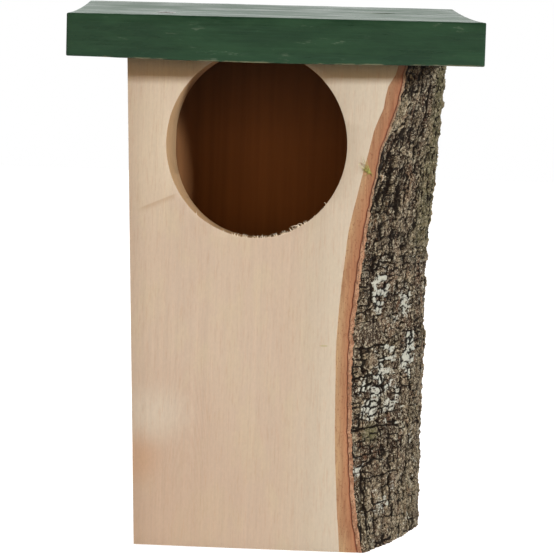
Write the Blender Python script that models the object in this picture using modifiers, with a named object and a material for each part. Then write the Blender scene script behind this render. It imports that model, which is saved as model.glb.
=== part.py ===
# A semi-open nest box for small birds, made from one piece of log.
# The log has sawn front, left, back and end faces and keeps its bark on the right side.
# A wide round entrance in the front opens into a round hollow bored down from the top.
# A thick board is the roof. It turns on one screw, for cleaning out the hollow.
# World frame: metres, +Z up, the entrance faces -Y, the bark is on the +X side.
# The origin is under the middle of the whole object, at its base.

import math

import bmesh
import bpy
import numpy as np
from mathutils import Matrix, Vector, noise

MM = 0.001

# Where the log's own datum (front face, 10.4 mm right of the entrance's centre) lies in the world.
DATUM_X = 6.99
DATUM_Y = -56.45

# Log, in mm.
LOG_DEPTH = 147.0
LOG_FRONT_HEIGHT = 209.8
LEFT_AT_BASE = -58.1
LEFT_AT_TOP = -66.6
TOP_SLOPE_DEG = 4.25
BARK_FRONT_EDGE = [(0, 39.4), (30, 35.8), (60, 34.0), (90, 33.7), (120, 35.9), (150, 39.7), (180, 46.2), (222, 55.5)]
BARK_SIDE = [(0, 65.0), (80, 65.0), (120, 65.0), (160, 67.0), (222, 71.5)]
BARK_PLAN = [(0, 0.0), (15, 0.235), (32, 0.45), (53, 0.67), (84, 0.915), (118, 1.0), (147, 0.985)]
BAST_WIDTH_ON_FRONT = 5.3
BARK_WIDTH_ON_FRONT = 2.4
BARK_THICKNESS = 5.0
BARK_RELIEF = 2.1

# Entrance and nest hollow, in mm.
ENTRANCE_X = -10.4
ENTRANCE_Z = 173.5
ENTRANCE_HALF_WIDTH = 38.6
ENTRANCE_HALF_HEIGHT = 40.0
HOLLOW_X = -4.6
HOLLOW_Y = 63.5
HOLLOW_RADIUS = 42.5
FLOOR_Z = 30.0
DRAIN_RADIUS = 4.0

# Roof board, in mm. It sits a little out of square, turned about its screw.
ROOF_WIDTH = 174.0
ROOF_DEPTH = 170.0
ROOF_THICKNESS = 18.6
ROOF_DISH = 1.0
ROOF_SKEW_DEG = 3.1
ROOF_MIDDLE_X = -2.4
ROOF_FRONT_Y = -28.1

# Roof screw, in mm: where it stands, and its own sizes.
PIVOT_X = -51.6
PIVOT_Y = 18.5
SCREW_LENGTH = 40.0
SCREW_HEAD_RADIUS = 4.0
SCREW_SHANK_RADIUS = 1.9
SCREW_HEAD_SINK = 0.9

# Keyhole hanger plate, in mm, let into the back.
HANGER_X = 0.0
HANGER_Z = 176.0
HANGER_WIDTH = 22.0
HANGER_HEIGHT = 52.0
HANGER_THICKNESS = 1.5
HANGER_SCREW_PITCH = 38.0
HANGER_SCREW_LENGTH = 16.0
HANGER_HEAD_RADIUS = 2.4
HANGER_SHANK_RADIUS = 1.35
HANGER_HEAD_SINK = 0.1
NAIL_HEAD_RADIUS = 5.0
NAIL_SHANK_RADIUS = 2.3

# Gap left between touching pieces, in mm.
GAP = 0.3

SLOPE = math.radians(TOP_SLOPE_DEG)
SKEW = math.radians(ROOF_SKEW_DEG)


def to_world(x, y, z):
    """World metres from log datum millimetres."""
    return Vector(((x + DATUM_X) * MM, (y + DATUM_Y) * MM, z * MM))


def start_empty():
    for old in list(bpy.data.objects):
        bpy.data.objects.remove(old, do_unlink=True)
    house = bpy.data.collections.new("birdhouse")
    tools = bpy.data.collections.new("cutters")
    bpy.context.scene.collection.children.link(house)
    bpy.context.scene.collection.children.link(tools)
    return house, tools


def material(name, colour, roughness, metallic=0.0):
    made = bpy.data.materials.new(name)
    made.use_nodes = True
    shader = made.node_tree.nodes["Principled BSDF"]
    shader.inputs["Base Color"].default_value = (colour[0], colour[1], colour[2], 1.0)
    shader.inputs["Roughness"].default_value = roughness
    shader.inputs["Metallic"].default_value = metallic
    made.diffuse_color = (colour[0], colour[1], colour[2], 1.0)
    made.metallic = metallic
    made.roughness = roughness
    return made


def add_object(name, shape, look, where):
    bmesh.ops.recalc_face_normals(shape, faces=shape.faces)
    mesh = bpy.data.meshes.new(name)
    shape.to_mesh(mesh)
    shape.free()
    thing = bpy.data.objects.new(name, mesh)
    if look is not None:
        mesh.materials.append(look)
    where.objects.link(thing)
    return thing


def smooth_curve(stations, at):
    """A smooth value at one place, through stations of (place, value)."""
    places = [s[0] for s in stations]
    values = [s[1] for s in stations]
    slopes = []
    for i in range(len(places)):
        lo = max(i - 1, 0)
        hi = min(i + 1, len(places) - 1)
        slopes.append((values[hi] - values[lo]) / (places[hi] - places[lo]))
    at = min(max(at, places[0]), places[-1])
    i = 0
    while i < len(places) - 2 and at > places[i + 1]:
        i += 1
    span = places[i + 1] - places[i]
    t = (at - places[i]) / span
    a = (2 * t ** 3 - 3 * t ** 2 + 1) * values[i]
    b = (t ** 3 - 2 * t ** 2 + t) * span * slopes[i]
    c = (3 * t ** 2 - 2 * t ** 3) * values[i + 1]
    d = (t ** 3 - t ** 2) * span * slopes[i + 1]
    return a + b + c + d


def ease(value):
    value = min(max(value, 0.0), 1.0)
    return value * value * (3.0 - 2.0 * value)


def log_top(y):
    """Height of the log's sawn top at a depth behind the front face."""
    return LOG_FRONT_HEIGHT + y * math.tan(SLOPE)


def bark_outside(y, z):
    """The trunk's outer surface, before its fissures."""
    front = smooth_curve(BARK_FRONT_EDGE, z)
    side = smooth_curve(BARK_SIDE, z)
    return front + (side - front) * smooth_curve(BARK_PLAN, y)


def bark_inside(y, z):
    deep = BARK_WIDTH_ON_FRONT + (BARK_THICKNESS - BARK_WIDTH_ON_FRONT) * ease(y / 16.0)
    return bark_outside(y, z) - deep


def wood_outside(y, z):
    return bark_inside(y, z) - BAST_WIDTH_ON_FRONT


def bark_relief(y, z):
    """Depth of the bark's fissures and height of its plates at one place."""
    place = Vector((y * 0.105, z * 0.026, 3.1))
    wander = noise.noise(Vector((y * 0.03, z * 0.035, 9.4))) * 1.6
    ridge = abs(noise.noise(place + Vector((wander, wander * 0.4, 0.0))))
    crack = abs(noise.noise(Vector((y * 0.03, z * 0.06, 17.2))))
    lump = noise.noise(Vector((y * 0.05, z * 0.04, 30.0)))
    plates = ease(ridge / 0.22) * ease(crack / 0.07 + 0.35)
    hold = ease((y + 1.0) / 12.0) * ease((LOG_DEPTH - y) / 10.0 + 0.2)
    return (-BARK_RELIEF * (1.0 - plates) + 0.7 * lump) * hold


def left_side(z):
    return LEFT_AT_BASE + (LEFT_AT_TOP - LEFT_AT_BASE) * z / LOG_FRONT_HEIGHT


def spaced(low, high, count):
    return [low + (high - low) * i / count for i in range(1, count)]


def shaped_block(name, look, where, y_cuts, z_cuts, place):
    """A cube cut by planes at the given heights and depths, then bent to shape by place()."""
    shape = bmesh.new()
    bmesh.ops.create_cube(shape, size=1.0, matrix=Matrix.Translation((0.5, 0.5, 0.5)))
    for cut in y_cuts:
        geometry = shape.verts[:] + shape.edges[:] + shape.faces[:]
        bmesh.ops.bisect_plane(shape, geom=geometry, plane_co=(0, cut, 0), plane_no=(0, 1, 0))
    for cut in z_cuts:
        geometry = shape.verts[:] + shape.edges[:] + shape.faces[:]
        bmesh.ops.bisect_plane(shape, geom=geometry, plane_co=(0, 0, cut), plane_no=(0, 0, 1))
    for vert in shape.verts:
        vert.co = place(vert.co.x, vert.co.y, vert.co.z)
    return add_object(name, shape, look, where)


def cylinder_cutter(name, where, radius, length, sides=64, radius_2=None):
    """A cylinder or cone along its own Z, from 0 down to -length."""
    shape = bmesh.new()
    top = radius if radius_2 is None else radius_2
    middle = Matrix.Translation((0, 0, -0.5 * length * MM))
    bmesh.ops.create_cone(shape, cap_ends=True, segments=sides, radius1=radius * MM,
                          radius2=top * MM, depth=length * MM, matrix=middle)
    cutter = add_object(name, shape, None, where)
    cutter.hide_render = True
    cutter.display_type = "WIRE"
    return cutter


def box_cutter(name, where, size_x, size_y, size_z):
    shape = bmesh.new()
    stretch = Matrix.Diagonal((size_x * MM, size_y * MM, size_z * MM, 1.0))
    bmesh.ops.create_cube(shape, size=1.0, matrix=stretch)
    cutter = add_object(name, shape, None, where)
    cutter.hide_render = True
    cutter.display_type = "WIRE"
    return cutter


def cut(thing, cutter):
    step = thing.modifiers.new("cut_" + cutter.name, "BOOLEAN")
    step.operation = "DIFFERENCE"
    step.solver = "EXACT"
    step.object = cutter
    return step


def turned(name, profile, look, where, sides=40):
    """A round solid about its own Z from (radius, height) points in mm, run top to bottom."""
    shape = bmesh.new()
    verts = [shape.verts.new((r * MM, 0.0, h * MM)) for r, h in profile]
    for first, second in zip(verts, verts[1:]):
        shape.edges.new((first, second))
    mesh = bpy.data.meshes.new(name)
    shape.to_mesh(mesh)
    shape.free()
    thing = bpy.data.objects.new(name, mesh)
    where.objects.link(thing)
    spin = thing.modifiers.new("turn", "SCREW")
    spin.axis = "Z"
    spin.angle = math.tau
    spin.steps = sides
    spin.render_steps = sides
    spin.use_merge_vertices = True
    spin.merge_threshold = 0.00001
    if look is None:
        thing.hide_render = True
        thing.display_type = "WIRE"
    else:
        mesh.materials.append(look)
        spin.use_smooth_shade = True
    return thing


def screw_seat_profile(head_radius, shank_radius, above, below):
    """A clearance hole with a countersink for a screw whose head's top is at height 0."""
    wide = head_radius + GAP
    narrow = shank_radius + GAP
    neck = -0.35 - (head_radius - shank_radius)
    return [(0.0, above), (wide, above), (wide, -0.35), (narrow, neck), (narrow, -below), (0.0, -below)]


def screw_profile(length, head_radius, shank_radius, pitch):
    """A countersunk wood screw: head at height 0, tip at -length, ridges for its thread."""
    core = shank_radius * 0.68
    head_depth = head_radius - shank_radius
    points = [(0.0, 0.0), (head_radius, 0.0), (head_radius, -0.25)]
    points.append((shank_radius, -0.25 - head_depth))
    thread_start = -0.42 * length
    points.append((shank_radius, thread_start))
    height = thread_start - 0.3 * pitch
    while height > -length + 4.2 * shank_radius:
        points.append((core, height))
        points.append((shank_radius, height - 0.5 * pitch))
        height -= pitch
    points.append((core, height))
    points.append((0.0, -length))
    return points


def shade(thing, angle_deg=35.0):
    mesh = thing.data
    mesh.shade_smooth()
    mesh.set_sharp_from_angle(angle=math.radians(angle_deg))


house, tools = start_empty()

wood_look = material("alder_wood", (0.60, 0.44, 0.31), 0.68)
bast_look = material("inner_bark", (0.39, 0.20, 0.105), 0.75)
bark_look = material("outer_bark", (0.135, 0.112, 0.085), 0.9)
roof_look = material("green_stained_board", (0.055, 0.095, 0.058), 0.5)
steel_look = material("zinc_plated_steel", (0.62, 0.62, 0.60), 0.35, 1.0)

# The log: wood, inner bark and outer bark, side by side.
HEIGHT_STEPS = 30
height_cuts = spaced(0.0, 1.0, HEIGHT_STEPS)
plain_depth_cuts = spaced(0.0, 1.0, 11)
bark_depth_cuts = [y / LOG_DEPTH for y in np.arange(3.5, 86.0, 3.5)] + [95 / LOG_DEPTH, 108 / LOG_DEPTH,
                                                                       121 / LOG_DEPTH, 134 / LOG_DEPTH]


def place_wood(u, v, w):
    y = v * LOG_DEPTH
    z = w * log_top(y)
    x = left_side(z) if u < 0.5 else wood_outside(y, z)
    return to_world(x, y, z)


def place_bast(u, v, w):
    y = v * LOG_DEPTH
    z = w * log_top(y)
    x = wood_outside(y, z) + GAP if u < 0.5 else bark_inside(y, z)
    return to_world(x, y, z)


def place_bark(u, v, w):
    y = v * LOG_DEPTH
    z = w * log_top(y)
    x = bark_inside(y, z) + GAP if u < 0.5 else bark_outside(y, z) + bark_relief(y, z)
    return to_world(x, y, z)


log = shaped_block("log_wood", wood_look, house, plain_depth_cuts, height_cuts, place_wood)
bast = shaped_block("inner_bark", bast_look, house, plain_depth_cuts, height_cuts, place_bast)
bark = shaped_block("outer_bark", bark_look, house, bark_depth_cuts, height_cuts, place_bark)
shade(bark, 40.0)

# The nest hollow is bored down from the top and leaves a floor.
hollow = cylinder_cutter("cut_hollow", tools, HOLLOW_RADIUS, 230.0, sides=72)
hollow.location = to_world(HOLLOW_X, HOLLOW_Y, FLOOR_Z + 230.0)
cut(log, hollow)

# The entrance is bored through the front into the hollow. The wood has shrunk across its grain.
entrance = cylinder_cutter("cut_entrance", tools, ENTRANCE_HALF_HEIGHT, HOLLOW_Y + 6.0, sides=72)
for vert in entrance.data.vertices:
    vert.co.x *= ENTRANCE_HALF_WIDTH / ENTRANCE_HALF_HEIGHT
entrance.rotation_euler = (math.radians(90.0), 0.0, 0.0)
entrance.location = to_world(ENTRANCE_X, -6.0, ENTRANCE_Z)
cut(log, entrance)

# Water drains through the middle of the floor.
drain = cylinder_cutter("cut_drain", tools, DRAIN_RADIUS, FLOOR_Z + 4.0, sides=24)
drain.location = to_world(HOLLOW_X, HOLLOW_Y, FLOOR_Z + 2.0)
cut(log, drain)

# The roof's screw stands square to the log's sloping top.
pivot_low = Vector((PIVOT_X, PIVOT_Y, log_top(PIVOT_Y)))
up_along_pivot = Vector((0.0, -math.sin(SLOPE), math.cos(SLOPE)))
roof_under = pivot_low + up_along_pivot * GAP
tilt = (SLOPE, 0.0, 0.0)


def on_pivot(height):
    """World place on the roof screw's axis, so many mm above the roof's underside."""
    place = roof_under + up_along_pivot * height
    return to_world(place.x, place.y, place.z)


pilot = cylinder_cutter("cut_pilot", tools, SCREW_SHANK_RADIUS + GAP, SCREW_LENGTH + 4.0, sides=24)
pilot.rotation_euler = tilt
pilot.location = on_pivot(ROOF_THICKNESS)
cut(log, pilot)

# The roof board: its top is slightly dished from front to back, its edges are eased.
pivot_from_middle = Matrix.Rotation(-SKEW, 2) @ Vector((PIVOT_X - ROOF_MIDDLE_X, PIVOT_Y - ROOF_FRONT_Y))
PIVOT_IN_WIDTH = pivot_from_middle.x
PIVOT_IN_DEPTH = pivot_from_middle.y / math.cos(SLOPE)


def place_roof(u, v, w):
    x = (u - 0.5) * ROOF_WIDTH - PIVOT_IN_WIDTH
    y = v * ROOF_DEPTH - PIVOT_IN_DEPTH
    dish = ROOF_DISH * 4.0 * v * (1.0 - v)
    return Vector((x, y, w * (ROOF_THICKNESS - dish))) * MM


roof = shaped_block("roof_board", roof_look, house, spaced(0.0, 1.0, 12), [], place_roof)
roof.rotation_euler = (Matrix.Rotation(SLOPE, 3, "X") @ Matrix.Rotation(SKEW, 3, "Z")).to_euler()
roof.location = on_pivot(0.0)
eased = roof.modifiers.new("eased_edges", "BEVEL")
eased.width = 0.8 * MM
eased.segments = 2
eased.limit_method = "ANGLE"
eased.angle_limit = math.radians(60.0)

head_top = ROOF_THICKNESS - SCREW_HEAD_SINK
roof_seat = screw_seat_profile(SCREW_HEAD_RADIUS, SCREW_SHANK_RADIUS, 5.0, ROOF_THICKNESS + 5.0)
roof_hole = turned("cut_roof_hole", roof_seat, None, tools)
roof_hole.rotation_euler = tilt
roof_hole.location = on_pivot(head_top)
cut(roof, roof_hole)

screw_points = screw_profile(SCREW_LENGTH, SCREW_HEAD_RADIUS, SCREW_SHANK_RADIUS, 1.8)
screw = turned("roof_screw", screw_points, steel_look, house, 24)
screw.rotation_euler = tilt
screw.location = on_pivot(head_top)
for number, turn in enumerate((20.0, 110.0)):
    slot = box_cutter("cut_cross_%d" % number, tools, 4.4, 0.9, 3.4)
    turn_in_place = Matrix.Rotation(SLOPE, 3, "X") @ Matrix.Rotation(math.radians(turn), 3, "Z")
    slot.rotation_euler = turn_in_place.to_euler()
    slot.location = on_pivot(head_top)
    cut(screw, slot)

# The hanger: a keyhole plate let flush into the back, with room behind it for a nail's head.
plate_pocket = box_cutter("cut_plate_pocket", tools, HANGER_WIDTH + 2 * GAP, 2 * (HANGER_THICKNESS + GAP),
                          HANGER_HEIGHT + 2 * GAP)
plate_pocket.location = to_world(HANGER_X, LOG_DEPTH, HANGER_Z)
cut(log, plate_pocket)
nail_pocket = box_cutter("cut_nail_pocket", tools, 14.0, 18.0, 26.0)
nail_pocket.location = to_world(HANGER_X, LOG_DEPTH, HANGER_Z)
cut(log, nail_pocket)

plate = box_cutter("hanger_plate", house, HANGER_WIDTH, HANGER_THICKNESS, HANGER_HEIGHT)
plate.hide_render = False
plate.display_type = "TEXTURED"
plate.data.materials.append(steel_look)
plate.location = to_world(HANGER_X, LOG_DEPTH - 0.5 * HANGER_THICKNESS - 0.05, HANGER_Z)
rounded = plate.modifiers.new("rounded_corners", "BEVEL")
rounded.width = 0.4 * MM
rounded.segments = 1
keyhole = cylinder_cutter("cut_keyhole", tools, NAIL_HEAD_RADIUS, 8.0, sides=32)
keyhole.rotation_euler = (math.radians(90.0), 0.0, 0.0)
keyhole.location = to_world(HANGER_X, LOG_DEPTH - 4.0, HANGER_Z - 4.0)
cut(plate, keyhole)
slot = box_cutter("cut_keyhole_slot", tools, 2 * NAIL_SHANK_RADIUS, 8.0, 11.0)
slot.location = to_world(HANGER_X, LOG_DEPTH, HANGER_Z + 1.5)
cut(plate, slot)
slot_end = cylinder_cutter("cut_keyhole_end", tools, NAIL_SHANK_RADIUS, 8.0, sides=24)
slot_end.rotation_euler = (math.radians(90.0), 0.0, 0.0)
slot_end.location = to_world(HANGER_X, LOG_DEPTH - 4.0, HANGER_Z + 7.0)
cut(plate, slot_end)

# Two countersunk screws hold the hanger plate.
hanger_seat = screw_seat_profile(HANGER_HEAD_RADIUS, HANGER_SHANK_RADIUS, 4.0, 6.0)
facing_back = (math.radians(-90.0), 0.0, 0.0)
for number, side in enumerate((-1.0, 1.0)):
    height = HANGER_Z + side * 0.5 * HANGER_SCREW_PITCH
    seat = turned("cut_plate_hole_%d" % number, hanger_seat, None, tools, 24)
    seat.rotation_euler = facing_back
    seat.location = to_world(HANGER_X, LOG_DEPTH - HANGER_HEAD_SINK, height)
    cut(plate, seat)
    bore = cylinder_cutter("cut_plate_pilot_%d" % number, tools, HANGER_SHANK_RADIUS + GAP,
                           HANGER_SCREW_LENGTH + 1.0, 24)
    bore.rotation_euler = facing_back
    bore.location = to_world(HANGER_X, LOG_DEPTH - HANGER_HEAD_SINK, height)
    cut(log, bore)

hanger_points = screw_profile(HANGER_SCREW_LENGTH, HANGER_HEAD_RADIUS, HANGER_SHANK_RADIUS, 1.3)
for name, side in (("hanger_screw_low", -1.0), ("hanger_screw_high", 1.0)):
    height = HANGER_Z + side * 0.5 * HANGER_SCREW_PITCH
    holder = turned(name, hanger_points, steel_look, house, 16)
    holder.rotation_euler = facing_back
    holder.location = to_world(HANGER_X, LOG_DEPTH - HANGER_HEAD_SINK, height)
    for number, turn in enumerate((10.0, 100.0)):
        slot = box_cutter("cut_%s_%d" % (name, number), tools, 2.8, 0.6, 2.2)
        turn_in_place = Matrix.Rotation(math.radians(-90.0), 3, "X") @ Matrix.Rotation(math.radians(turn), 3, "Z")
        slot.rotation_euler = turn_in_place.to_euler()
        slot.location = holder.location
        cut(holder, slot)
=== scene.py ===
import math

import bmesh
import bpy
import numpy as np
from mathutils import Matrix, Vector


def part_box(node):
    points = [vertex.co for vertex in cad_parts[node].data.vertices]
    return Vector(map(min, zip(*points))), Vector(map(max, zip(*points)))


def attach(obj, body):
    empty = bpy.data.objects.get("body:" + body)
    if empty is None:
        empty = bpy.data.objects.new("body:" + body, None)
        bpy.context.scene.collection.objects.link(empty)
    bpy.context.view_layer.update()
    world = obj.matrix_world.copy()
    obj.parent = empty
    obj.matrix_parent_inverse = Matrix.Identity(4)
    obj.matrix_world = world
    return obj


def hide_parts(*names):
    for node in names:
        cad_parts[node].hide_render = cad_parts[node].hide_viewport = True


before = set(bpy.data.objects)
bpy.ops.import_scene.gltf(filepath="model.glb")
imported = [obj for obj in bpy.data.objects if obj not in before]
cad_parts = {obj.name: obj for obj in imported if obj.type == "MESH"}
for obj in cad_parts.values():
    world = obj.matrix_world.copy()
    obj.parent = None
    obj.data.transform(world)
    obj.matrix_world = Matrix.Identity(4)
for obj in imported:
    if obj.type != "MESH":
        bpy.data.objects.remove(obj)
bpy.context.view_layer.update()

MM = 0.001

# The log and its hollow, in mm, as in the CAD model.
LOG_DEPTH = 147.0
LOG_FRONT_HEIGHT = 209.8
LEFT_AT_BASE = -58.1
LEFT_AT_TOP = -66.6
SLOPE = math.radians(4.25)
ENTRANCE_X, ENTRANCE_Z = -10.4, 173.5
ENTRANCE_HALF_WIDTH, ENTRANCE_HALF_HEIGHT = 38.6, 40.0
HOLLOW_X, HOLLOW_Y, HOLLOW_RADIUS, FLOOR_Z = -4.6, 63.5, 42.5, 30.0
DRAIN_RADIUS = 4.0
PILOT_RADIUS, PILOT_LENGTH = 2.2, 30.0
HANGER_Z = 176.0
PLATE_POCKET = (22.6, 3.6, 52.6)
NAIL_POCKET = (14.0, 18.0, 26.0)

# The inside is a little out of round, so that the entrance's left wall runs into it without a step.
BORE_X, BORE_HALF_WIDTH = -5.6, 43.5
BORE_OUT_OF_ROUND = BORE_HALF_WIDTH / HOLLOW_RADIUS
# The sawn top lies this much lower than in the CAD model, to clear the roof's sagging front edge as it turns.
TOP_EASE = 0.45

# Edges seen on the front face: (height, distance to the right of the datum).
BARK_EDGE = [(0, 40.2), (15, 37.4), (32, 35.7), (60, 34.1), (92, 33.7), (119, 36.0), (147, 39.3), (162, 41.9),
             (172, 43.6), (182, 46.9), (192, 50.2), (200, 51.6), (222, 55.5)]
WOOD_EDGE = [(0, 30.2), (23, 28.3), (44, 27.0), (65, 26.4), (86, 26.1), (103, 26.6), (121, 28.2), (138, 29.8),
             (155, 33.4), (172, 37.4), (183, 40.0), (190, 42.9), (199, 44.4), (206, 48.2), (222, 50.5)]
# The trunk's furthest reach to the right at each height, and how much of it each depth has.
BARK_SIDE = [(0, 65.9), (80, 65.6), (120, 65.6), (150, 67.4), (180, 69.4), (222, 72.4)]
BARK_PLAN = [(0, 0.0), (15, 0.235), (32, 0.45), (53, 0.67), (84, 0.915), (118, 1.0), (147, 0.985)]
BAST_THICKNESS, BAST_ON_FRONT, BAST_THINS_BY = 5.0, 2.1, 0.8

# Roof board and its screw, in mm.
ROOF_WIDTH, ROOF_DEPTH, ROOF_THICKNESS, ROOF_DISH = 173.9, 170.0, 18.6, 1.0
ROOF_SKEW = math.radians(3.1)
ROOF_MIDDLE_X, ROOF_FRONT_Y = -2.4, -28.1
ROOF_GAP = 0.3
KNOT_X, KNOT_Y, KNOT_SINK = 51.0, 112.0, 0.9
PIVOT_X, PIVOT_Y = -51.6, 18.5
SCREW_LENGTH, SCREW_HEAD_RADIUS, SCREW_SHANK_RADIUS, SCREW_HEAD_SINK = 40.0, 4.0, 1.9, 0.9

log_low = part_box("log_wood")[0]
LEFTMOST_TO_DATUM = 0.06704
DATUM = Vector((log_low.x + LEFTMOST_TO_DATUM, log_low.y, 0.0))


def place(x, y, z):
    """World place in metres from mm across, deep and high."""
    return Vector((DATUM.x + x * MM, DATUM.y + y * MM, z * MM))


# ---- node helpers


def feed(tree, node, socket, value):
    """Links a node's output into a socket, or sets the socket. None leaves it as it is."""
    if isinstance(value, bpy.types.NodeSocket):
        tree.links.new(value, node.inputs[socket])
    elif value is not None:
        node.inputs[socket].default_value = value


def add_node(tree, kind, output, inputs, **settings):
    """Adds a node with its settings and inputs, and gives one of its outputs."""
    node = tree.nodes.new("ShaderNode" + kind)
    for name, value in settings.items():
        setattr(node, name, value)
    for socket, value in inputs.items():
        feed(tree, node, socket, value)
    return node.outputs[output]


def smooth_range(tree, value, low, high, at_low, at_high):
    """Maps value from low..high onto at_low..at_high, smoothly and clamped."""
    inputs = {"Value": value, "From Min": low, "From Max": high, "To Min": at_low, "To Max": at_high}
    return add_node(tree, "MapRange", 0, inputs, interpolation_type="SMOOTHSTEP")


# ---- camera and light


def make_camera():
    """A long lens 1.18 m away, 1.8 degrees to the right of square on, a little above and rolled."""
    data = bpy.data.cameras.new("camera")
    data.sensor_width = 36.0
    data.lens = 180.2
    data.clip_start = 0.05
    data.clip_end = 50.0
    camera = bpy.data.objects.new("camera", data)
    bpy.context.scene.collection.objects.link(camera)
    aim = place(0.0, 0.0, 117.2)
    stand = place(37.1, -1181.0, 181.7)
    turn = (aim - stand).to_track_quat("-Z", "Y").to_matrix().to_4x4()
    camera.matrix_world = Matrix.Translation(stand) @ turn @ Matrix.Rotation(math.radians(1.76), 4, "Z")
    bpy.context.scene.camera = camera


def soft_light(name, azimuth, elevation, distance, width, height, watts, colour=(1, 1, 1)):
    """An area light aimed at the object. Azimuth 0 is straight in front, 90 is on the right."""
    data = bpy.data.lights.new(name, "AREA")
    data.shape = "RECTANGLE"
    data.size = width
    data.size_y = height
    data.energy = watts
    data.color = colour
    lamp = bpy.data.objects.new(name, data)
    bpy.context.scene.collection.objects.link(lamp)
    a, e = math.radians(azimuth), math.radians(elevation)
    aim = place(-5.0, 30.0, 150.0)
    away = Vector((math.sin(a) * math.cos(e), -math.cos(a) * math.cos(e), math.sin(e)))
    lamp.location = aim + away * distance
    lamp.rotation_euler = (-away).to_track_quat("-Z", "Y").to_euler()
    return lamp


def make_world():
    """A white backdrop behind the object and a dim, warm room in front, all white to the camera."""
    world = bpy.data.worlds.new("studio")
    bpy.context.scene.world = world
    world.use_nodes = True
    tree = world.node_tree
    depth = add_node(tree, "SeparateXYZ", "Y", {0: add_node(tree, "TexCoord", "Generated", {})})
    room = smooth_range(tree, depth, -0.1, 0.55, 0.09, 0.95)
    camera_ray = add_node(tree, "LightPath", "Is Camera Ray", {})
    bright = add_node(tree, "Math", 0, {0: camera_ray, 1: room}, operation="MAXIMUM")
    white, warm = (1.0, 1.0, 1.0, 1.0), (1.0, 0.7, 0.4, 1.0)
    whiteness = smooth_range(tree, bright, 0.3, 0.9, 0.0, 1.0)
    tint = add_node(tree, "Mix", 2, {0: whiteness, 6: warm, 7: white}, data_type="RGBA")
    feed(tree, tree.nodes["Background"], "Strength", bright)
    feed(tree, tree.nodes["Background"], "Color", tint)


make_camera()
soft_light("key_right", 42.0, 12.0, 4.0, 0.46, 0.4, 155.0, (0.935, 1.03, 1.14)).visible_glossy = False
soft_light("fill_front", 0.0, 6.0, 2.4, 1.7, 0.8, 14.5, (1.0, 0.64, 0.3)).visible_glossy = False
soft_light("top", 0.0, 80.0, 2.0, 1.4, 1.4, 4.0).visible_glossy = False
make_world()
bpy.context.scene.view_settings.view_transform = "Standard"

# ---- number helpers


def curve_through(stations, at):
    """Smooth values through (place, value) stations, for one place or an array of them."""
    places = np.array([s[0] for s in stations], float)
    values = np.array([s[1] for s in stations], float)
    slopes = np.empty_like(values)
    slopes[1:-1] = (values[2:] - values[:-2]) / (places[2:] - places[:-2])
    slopes[0] = (values[1] - values[0]) / (places[1] - places[0])
    slopes[-1] = (values[-1] - values[-2]) / (places[-1] - places[-2])
    at = np.clip(np.asarray(at, float), places[0], places[-1])
    i = np.clip(np.searchsorted(places, at, side="right") - 1, 0, len(places) - 2)
    span = places[i + 1] - places[i]
    t = (at - places[i]) / span
    return ((2 * t**3 - 3 * t**2 + 1) * values[i] + (t**3 - 2 * t**2 + t) * span * slopes[i]
            + (3 * t**2 - 2 * t**3) * values[i + 1] + (t**3 - t**2) * span * slopes[i + 1])


def ease(value):
    """A smooth step from 0 to 1."""
    value = np.clip(value, 0.0, 1.0)
    return value * value * (3.0 - 2.0 * value)


def dice(ix, iy, seed):
    """A repeatable random number from 0 to 1 for each whole-number place."""
    with np.errstate(over="ignore"):
        h = ix.astype(np.int64) * 374761393 + iy.astype(np.int64) * 668265263 + seed * 974634777
        h = h & 0xFFFFFFFF
        h = ((h ^ (h >> 13)) * 1274126177) & 0xFFFFFFFF
        h = ((h ^ (h >> 16)) * 2246822519) & 0xFFFFFFFF
    return ((h ^ (h >> 15)) & 0xFFFFFF) / float(0x1000000)


def drift(x, y, seed):
    """Smooth noise from -1 to 1."""
    ix, iy = np.floor(x), np.floor(y)
    fx, fy = x - ix, y - iy
    ux, uy = ease(fx), ease(fy)
    low = dice(ix, iy, seed) * (1 - ux) + dice(ix + 1, iy, seed) * ux
    high = dice(ix, iy + 1, seed) * (1 - ux) + dice(ix + 1, iy + 1, seed) * ux
    return (low * (1 - uy) + high * uy) * 2.0 - 1.0


def drift_at(x, y, seed):
    """drift() at a single place."""
    return float(drift(np.array(x), np.array(y), seed))


def rough(x, y, seed, octaves=4):
    """Smooth noise with finer and finer detail added, about -1 to 1."""
    total, size, reach = 0.0, 1.0, 0.0
    for k in range(octaves):
        total = total + drift(x * 2.0**k + 17.3 * k, y * 2.0**k + 5.1 * k, seed + k) * size
        reach += size
        size *= 0.55
    return total / reach


def log_top(y):
    """Height of the sawn top at a depth."""
    return LOG_FRONT_HEIGHT - TOP_EASE + y * math.tan(SLOPE)


def bark_edge(z):
    """The jagged line where the bark ends on the front face."""
    jag = 0.35 * drift(z / 3.1, z * 0.0 + 2.5, 41) + 0.22 * drift(z / 1.1, z * 0.0 + 4.5, 47)
    return curve_through(BARK_EDGE, z) + jag


def wood_edge(z):
    """The line where the wood ends on the front face."""
    return curve_through(WOOD_EDGE, z) + 0.18 * drift(z / 9.0, z * 0.0 + 7.5, 43)


def bark_base(y, z):
    """The trunk's outer surface, before its plates and fissures."""
    front = bark_edge(z)
    return front + (curve_through(BARK_SIDE, z) - front) * curve_through(BARK_PLAN, y)


def bast_outside(y, z):
    """The inner bark's outer surface: thin at the front face, thicker a little way in."""
    thin = BAST_ON_FRONT - BAST_THINS_BY * ease((z - 118.0) / 40.0)
    return bark_base(y, z) - (thin + (BAST_THICKNESS - thin) * ease(y / 16.0))


def wood_outside(y, z):
    return bast_outside(y, z) - (bast_outside(0.0 * y, z) - wood_edge(z))


# ---- mesh helpers


def link(name, mesh, looks):
    """A new object in the scene, with its materials."""
    thing = bpy.data.objects.new(name, mesh)
    bpy.context.scene.collection.objects.link(thing)
    for look in looks:
        mesh.materials.append(look)
    return thing


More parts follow.
